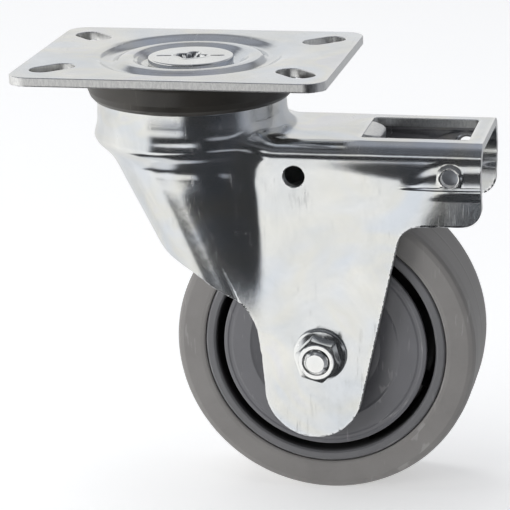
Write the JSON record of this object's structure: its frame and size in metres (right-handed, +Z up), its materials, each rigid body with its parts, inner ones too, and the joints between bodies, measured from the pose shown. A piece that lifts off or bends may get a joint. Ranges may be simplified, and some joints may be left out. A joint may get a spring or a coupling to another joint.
{
  "type": "swivel castor",
  "caption": "Swivel castor: slotted top plate on a ball race, pressed steel fork with a rear deck, and a rubber-tyred wheel that turns on ball bearings.",
  "frame": {"origin": "where the swivel axis meets the plane of the top plate's upper face", "axes": "+Z up along the swivel axis, +X the way the wheel trails, +Y along the axle towards the bolt's head"},
  "size_m": [0.151, 0.0792, 0.1452],
  "materials": {
    "zinc_plate": "pressed steel sheet, zinc plated, slightly scuffed",
    "bright_zinc": "bright zinc plated steel",
    "bearing_steel": "ground steel",
    "ball_steel": "polished balls in a pressed cage",
    "dark_seal": "moulded, matt",
    "black_rubber": "matt",
    "grey_plastic": "moulded, satin",
    "grey_rubber": "moulded rubber, matt"
  },
  "bodies": {
    "plate": {"top_plate": "zinc_plate", "kingpin": "bright_zinc", "lower_race": "zinc_plate"},
    "upper_race": {"upper_balls": "ball_steel"},
    "lower_race_balls": {"lower_balls": "ball_steel"},
    "fork": {"fork": "zinc_plate", "dust_seal": "dark_seal", "axle_bolt": "bright_zinc", "axle_nut": "bright_zinc", "axle_tube": "bearing_steel", "near_spacer": "zinc_plate", "far_spacer": "zinc_plate", "near_inner_ring": "bearing_steel", "far_inner_ring": "bearing_steel"},
    "near_race": {"near_bearing_balls": "ball_steel"},
    "far_race": {"far_bearing_balls": "ball_steel"},
    "wheel": {"wheel_centre": "grey_plastic", "tyre": "grey_rubber", "near_thread_guard": "grey_plastic", "far_thread_guard": "grey_plastic", "near_outer_ring": "bearing_steel", "far_outer_ring": "bearing_steel", "near_bearing_seal": "black_rubber", "far_bearing_seal": "black_rubber"}
  },
  "joints": [
    {"name": "swivel", "type": "hinge", "parent": "plate", "child": "fork", "pos_m": [0, 0, 0], "axis": [0, 0, 1], "continuous": true},
    {"name": "upper_race_roll", "type": "hinge", "parent": "plate", "child": "upper_race", "pos_m": [0, 0, -0.0077], "axis": [0, 0, 1], "continuous": true},
    {"name": "lower_race_roll", "type": "hinge", "parent": "plate", "child": "lower_race_balls", "pos_m": [0, 0, -0.0168], "axis": [0, 0, 1], "continuous": true},
    {"name": "wheel_spin", "type": "hinge", "parent": "fork", "child": "wheel", "pos_m": [0.0462, 0, -0.0947], "axis": [0, 1, 0], "continuous": true},
    {"name": "near_race_roll", "type": "hinge", "parent": "fork", "child": "near_race", "pos_m": [0.0462, -0.0085, -0.0947], "axis": [0, 1, 0], "continuous": true},
    {"name": "far_race_roll", "type": "hinge", "parent": "fork", "child": "far_race", "pos_m": [0.0462, 0.0085, -0.0947], "axis": [0, 1, 0], "continuous": true}
  ],
  "couplings": [
    {"joint": "upper_race_roll", "follows": "swivel", "ratio": 0.5},
    {"joint": "lower_race_roll", "follows": "swivel", "ratio": 0.5},
    {"joint": "near_race_roll", "follows": "wheel_spin", "ratio": 0.62},
    {"joint": "far_race_roll", "follows": "wheel_spin", "ratio": 0.62}
  ]
}
